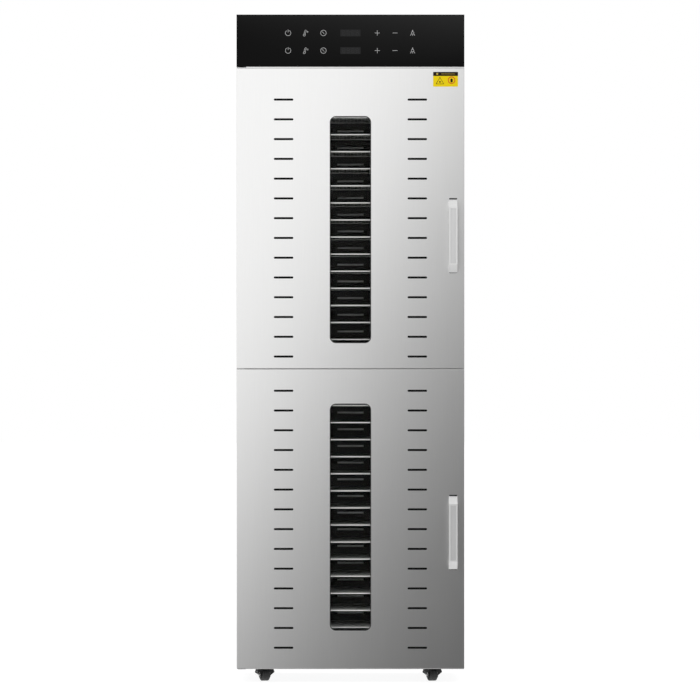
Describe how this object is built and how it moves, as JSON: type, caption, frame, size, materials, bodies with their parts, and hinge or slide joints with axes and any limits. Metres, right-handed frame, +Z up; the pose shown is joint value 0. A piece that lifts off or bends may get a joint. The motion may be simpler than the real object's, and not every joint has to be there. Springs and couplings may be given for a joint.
{
  "type": "food dehydrator",
  "caption": "Tall two-door food dehydrator: satin steel cabinet, slotted doors with windows and bow handles, black glass control panel, wire trays on rails, rear fans, low casters.",
  "frame": {"origin": "centre of the bounding box on the floor, at the wheels' contact height", "axes": "+X to the right as seen from the front, +Y from the doors to the rear cover, +Z up"},
  "size_m": [0.455, 0.534, 1.333],
  "materials": {
    "satin_steel": "smooth satin brushed stainless sheet",
    "plated_steel": "plain plated sheet",
    "chamber_steel": "bright stainless sheet",
    "tray_wire": "electropolished stainless wire",
    "handle_steel": "satin stainless",
    "hinge_steel": "plated steel",
    "motor_steel": "black painted motor can",
    "heater_tube": "dull dark oxidised tube",
    "fan_aluminium": "plain pressed aluminium",
    "black_glass": "opaque black back-printed glass, polished",
    "circuit_board": "green board with dark components",
    "black_plastic": "fine matt moulded plastic",
    "lamp_lens": "milky white lens",
    "window_glass": "clear toughened glass",
    "seal_rubber": "matt silicone",
    "caster_metal": "black coated steel",
    "caster_wheel": "dark grey tread"
  },
  "bodies": {
    "cabinet": {"outer_casing": "satin_steel", "base_pan": "plated_steel", "rear_cover": "satin_steel", "chamber_panels": "chamber_steel", "tray_rails": "chamber_steel", "fan_baffles": "chamber_steel", "fan_motors": "motor_steel", "heating_elements": "heater_tube", "control_panel": "black_glass", "control_boards": "circuit_board", "hinge_leaves": "hinge_steel", "caster_mounts": "caster_metal", "mains_inlet": "black_plastic", "chamber_lamps": "lamp_lens"},
    "upper_door": {"upper_door_skin": "satin_steel", "upper_door_liner": "chamber_steel", "upper_window_glass": "window_glass", "upper_door_seal": "seal_rubber", "upper_door_handle": "handle_steel"},
    "lower_door": {"lower_door_skin": "satin_steel", "lower_door_liner": "chamber_steel", "lower_window_glass": "window_glass", "lower_door_seal": "seal_rubber", "lower_door_handle": "handle_steel"},
    "upper_fan": {"upper_fan_rotor": "fan_aluminium"},
    "lower_fan": {"lower_fan_rotor": "fan_aluminium"},
    "lower_01_tray": {"tray_lower_01": "tray_wire"},
    "lower_02_tray": {"tray_lower_02": "tray_wire"},
    "lower_03_tray": {"tray_lower_03": "tray_wire"},
    "lower_04_tray": {"tray_lower_04": "tray_wire"},
    "lower_05_tray": {"tray_lower_05": "tray_wire"},
    "lower_06_tray": {"tray_lower_06": "tray_wire"},
    "lower_07_tray": {"tray_lower_07": "tray_wire"},
    "lower_08_tray": {"tray_lower_08": "tray_wire"},
    "lower_09_tray": {"tray_lower_09": "tray_wire"},
    "lower_10_tray": {"tray_lower_10": "tray_wire"},
    "lower_11_tray": {"tray_lower_11": "tray_wire"},
    "lower_12_tray": {"tray_lower_12": "tray_wire"},
    "lower_13_tray": {"tray_lower_13": "tray_wire"},
    "lower_14_tray": {"tray_lower_14": "tray_wire"},
    "upper_01_tray": {"tray_upper_01": "tray_wire"},
    "upper_02_tray": {"tray_upper_02": "tray_wire"},
    "upper_03_tray": {"tray_upper_03": "tray_wire"},
    "upper_04_tray": {"tray_upper_04": "tray_wire"},
    "upper_05_tray": {"tray_upper_05": "tray_wire"},
    "upper_06_tray": {"tray_upper_06": "tray_wire"},
    "upper_07_tray": {"tray_upper_07": "tray_wire"},
    "upper_08_tray": {"tray_upper_08": "tray_wire"},
    "upper_09_tray": {"tray_upper_09": "tray_wire"},
    "upper_10_tray": {"tray_upper_10": "tray_wire"},
    "upper_11_tray": {"tray_upper_11": "tray_wire"},
    "upper_12_tray": {"tray_upper_12": "tray_wire"},
    "upper_13_tray": {"tray_upper_13": "tray_wire"},
    "upper_14_tray": {"tray_upper_14": "tray_wire"},
    "front_left_fork": {"front_left_caster_fork": "caster_metal"},
    "front_left_wheel": {"front_left_caster_wheel": "caster_wheel"},
    "rear_left_wheel": {"rear_left_caster_wheel": "caster_wheel"},
    "front_right_fork": {"front_right_caster_fork": "caster_metal"},
    "front_right_wheel": {"front_right_caster_wheel": "caster_wheel"},
    "rear_right_wheel": {"rear_right_caster_wheel": "caster_wheel"}
  },
  "joints": [
    {"name": "upper_door_hinge", "type": "hinge", "parent": "cabinet", "child": "upper_door", "pos_m": [-0.217, -0.23, 0.9263], "axis": [0, 0, -1], "range_deg": [0, 150]},
    {"name": "lower_door_hinge", "type": "hinge", "parent": "cabinet", "child": "lower_door", "pos_m": [-0.217, -0.23, 0.3255], "axis": [0, 0, -1], "range_deg": [0, 150]},
    {"name": "lower_fan_spin", "type": "hinge", "parent": "cabinet", "child": "lower_fan", "pos_m": [0, 0.199, 0.329], "axis": [0, 1, 0], "continuous": true},
    {"name": "upper_fan_spin", "type": "hinge", "parent": "cabinet", "child": "upper_fan", "pos_m": [0, 0.199, 0.905], "axis": [0, 1, 0], "continuous": true},
    {"name": "front_left_swivel", "type": "hinge", "parent": "cabinet", "child": "front_left_fork", "pos_m": [-0.168, -0.183, 0.028], "axis": [0, 0, 1], "continuous": true},
    {"name": "front_left_wheel_spin", "type": "hinge", "parent": "front_left_fork", "child": "front_left_wheel", "pos_m": [-0.1721, -0.17172, 0.0125], "axis": [0.9397, 0.342, 0], "continuous": true},
    {"name": "rear_left_wheel_spin", "type": "hinge", "parent": "cabinet", "child": "rear_left_wheel", "pos_m": [-0.172, 0.221, 0.0125], "axis": [1, 0, 0], "continuous": true},
    {"name": "front_right_swivel", "type": "hinge", "parent": "cabinet", "child": "front_right_fork", "pos_m": [0.168, -0.183, 0.028], "axis": [0, 0, 1], "continuous": true},
    {"name": "front_right_wheel_spin", "type": "hinge", "parent": "front_right_fork", "child": "front_right_wheel", "pos_m": [0.1639, -0.17172, 0.0125], "axis": [0.9397, 0.342, 0], "continuous": true},
    {"name": "rear_right_wheel_spin", "type": "hinge", "parent": "cabinet", "child": "rear_right_wheel", "pos_m": [0.172, 0.221, 0.0125], "axis": [1, 0, 0], "continuous": true},
    {"name": "lower_01_tray_slide", "type": "slide", "parent": "cabinet", "child": "lower_01_tray", "axis": [0, -1, 0], "range_m": [0, 0.35]},
    {"name": "lower_02_tray_slide", "type": "slide", "parent": "cabinet", "child": "lower_02_tray", "axis": [0, -1, 0], "range_m": [0, 0.35]},
    {"name": "lower_03_tray_slide", "type": "slide", "parent": "cabinet", "child": "lower_03_tray", "axis": [0, -1, 0], "range_m": [0, 0.35]},
    {"name": "lower_04_tray_slide", "type": "slide", "parent": "cabinet", "child": "lower_04_tray", "axis": [0, -1, 0], "range_m": [0, 0.35]},
    {"name": "lower_05_tray_slide", "type": "slide", "parent": "cabinet", "child": "lower_05_tray", "axis": [0, -1, 0], "range_m": [0, 0.35]},
    {"name": "lower_06_tray_slide", "type": "slide", "parent": "cabinet", "child": "lower_06_tray", "axis": [0, -1, 0], "range_m": [0, 0.35]},
    {"name": "lower_07_tray_slide", "type": "slide", "parent": "cabinet", "child": "lower_07_tray", "axis": [0, -1, 0], "range_m": [0, 0.35]},
    {"name": "lower_08_tray_slide", "type": "slide", "parent": "cabinet", "child": "lower_08_tray", "axis": [0, -1, 0], "range_m": [0, 0.35]},
    {"name": "lower_09_tray_slide", "type": "slide", "parent": "cabinet", "child": "lower_09_tray", "axis": [0, -1, 0], "range_m": [0, 0.35]},
    {"name": "lower_10_tray_slide", "type": "slide", "parent": "cabinet", "child": "lower_10_tray", "axis": [0, -1, 0], "range_m": [0, 0.35]},
    {"name": "lower_11_tray_slide", "type": "slide", "parent": "cabinet", "child": "lower_11_tray", "axis": [0, -1, 0], "range_m": [0, 0.35]},
    {"name": "lower_12_tray_slide", "type": "slide", "parent": "cabinet", "child": "lower_12_tray", "axis": [0, -1, 0], "range_m": [0, 0.35]},
    {"name": "lower_13_tray_slide", "type": "slide", "parent": "cabinet", "child": "lower_13_tray", "axis": [0, -1, 0], "range_m": [0, 0.35]},
    {"name": "lower_14_tray_slide", "type": "slide", "parent": "cabinet", "child": "lower_14_tray", "axis": [0, -1, 0], "range_m": [0, 0.35]},
    {"name": "upper_01_tray_slide", "type": "slide", "parent": "cabinet", "child": "upper_01_tray", "axis": [0, -1, 0], "range_m": [0, 0.35]},
    {"name": "upper_02_tray_slide", "type": "slide", "parent": "cabinet", "child": "upper_02_tray", "axis": [0, -1, 0], "range_m": [0, 0.35]},
    {"name": "upper_03_tray_slide", "type": "slide", "parent": "cabinet", "child": "upper_03_tray", "axis": [0, -1, 0], "range_m": [0, 0.35]},
    {"name": "upper_04_tray_slide", "type": "slide", "parent": "cabinet", "child": "upper_04_tray", "axis": [0, -1, 0], "range_m": [0, 0.35]},
    {"name": "upper_05_tray_slide", "type": "slide", "parent": "cabinet", "child": "upper_05_tray", "axis": [0, -1, 0], "range_m": [0, 0.35]},
    {"name": "upper_06_tray_slide", "type": "slide", "parent": "cabinet", "child": "upper_06_tray", "axis": [0, -1, 0], "range_m": [0, 0.35]},
    {"name": "upper_07_tray_slide", "type": "slide", "parent": "cabinet", "child": "upper_07_tray", "axis": [0, -1, 0], "range_m": [0, 0.35]},
    {"name": "upper_08_tray_slide", "type": "slide", "parent": "cabinet", "child": "upper_08_tray", "axis": [0, -1, 0], "range_m": [0, 0.35]},
    {"name": "upper_09_tray_slide", "type": "slide", "parent": "cabinet", "child": "upper_09_tray", "axis": [0, -1, 0], "range_m": [0, 0.35]},
    {"name": "upper_10_tray_slide", "type": "slide", "parent": "cabinet", "child": "upper_10_tray", "axis": [0, -1, 0], "range_m": [0, 0.35]},
    {"name": "upper_11_tray_slide", "type": "slide", "parent": "cabinet", "child": "upper_11_tray", "axis": [0, -1, 0], "range_m": [0, 0.35]},
    {"name": "upper_12_tray_slide", "type": "slide", "parent": "cabinet", "child": "upper_12_tray", "axis": [0, -1, 0], "range_m": [0, 0.35]},
    {"name": "upper_13_tray_slide", "type": "slide", "parent": "cabinet", "child": "upper_13_tray", "axis": [0, -1, 0], "range_m": [0, 0.35]},
    {"name": "upper_14_tray_slide", "type": "slide", "parent": "cabinet", "child": "upper_14_tray", "axis": [0, -1, 0], "range_m": [0, 0.35]}
  ],
  "couplings": [
    {"joint": "lower_01_tray_slide", "follows": "lower_door_hinge", "m_per_rad": 0.032},
    {"joint": "lower_02_tray_slide", "follows": "lower_door_hinge", "m_per_rad": 0.032},
    {"joint": "lower_03_tray_slide", "follows": "lower_door_hinge", "m_per_rad": 0.032},
    {"joint": "lower_04_tray_slide", "follows": "lower_door_hinge", "m_per_rad": 0.032},
    {"joint": "lower_05_tray_slide", "follows": "lower_door_hinge", "m_per_rad": 0.032},
    {"joint": "lower_06_tray_slide", "follows": "lower_door_hinge", "m_per_rad": 0.032},
    {"joint": "lower_07_tray_slide", "follows": "lower_door_hinge", "m_per_rad": 0.032},
    {"joint": "lower_08_tray_slide", "follows": "lower_door_hinge", "m_per_rad": 0.032},
    {"joint": "lower_09_tray_slide", "follows": "lower_door_hinge", "m_per_rad": 0.032},
    {"joint": "lower_10_tray_slide", "follows": "lower_door_hinge", "m_per_rad": 0.032},
    {"joint": "lower_11_tray_slide", "follows": "lower_door_hinge", "m_per_rad": 0.032},
    {"joint": "lower_12_tray_slide", "follows": "lower_door_hinge", "m_per_rad": 0.032},
    {"joint": "lower_13_tray_slide", "follows": "lower_door_hinge", "m_per_rad": 0.032},
    {"joint": "lower_14_tray_slide", "follows": "lower_door_hinge", "m_per_rad": 0.032},
    {"joint": "upper_01_tray_slide", "follows": "upper_door_hinge", "m_per_rad": 0.032},
    {"joint": "upper_02_tray_slide", "follows": "upper_door_hinge", "m_per_rad": 0.032},
    {"joint": "upper_03_tray_slide", "follows": "upper_door_hinge", "m_per_rad": 0.032},
    {"joint": "upper_04_tray_slide", "follows": "upper_door_hinge", "m_per_rad": 0.032},
    {"joint": "upper_05_tray_slide", "follows": "upper_door_hinge", "m_per_rad": 0.032},
    {"joint": "upper_06_tray_slide", "follows": "upper_door_hinge", "m_per_rad": 0.032},
    {"joint": "upper_07_tray_slide", "follows": "upper_door_hinge", "m_per_rad": 0.032},
    {"joint": "upper_08_tray_slide", "follows": "upper_door_hinge", "m_per_rad": 0.032},
    {"joint": "upper_09_tray_slide", "follows": "upper_door_hinge", "m_per_rad": 0.032},
    {"joint": "upper_10_tray_slide", "follows": "upper_door_hinge", "m_per_rad": 0.032},
    {"joint": "upper_11_tray_slide", "follows": "upper_door_hinge", "m_per_rad": 0.032},
    {"joint": "upper_12_tray_slide", "follows": "upper_door_hinge", "m_per_rad": 0.032},
    {"joint": "upper_13_tray_slide", "follows": "upper_door_hinge", "m_per_rad": 0.032},
    {"joint": "upper_14_tray_slide", "follows": "upper_door_hinge", "m_per_rad": 0.032}
  ]
}
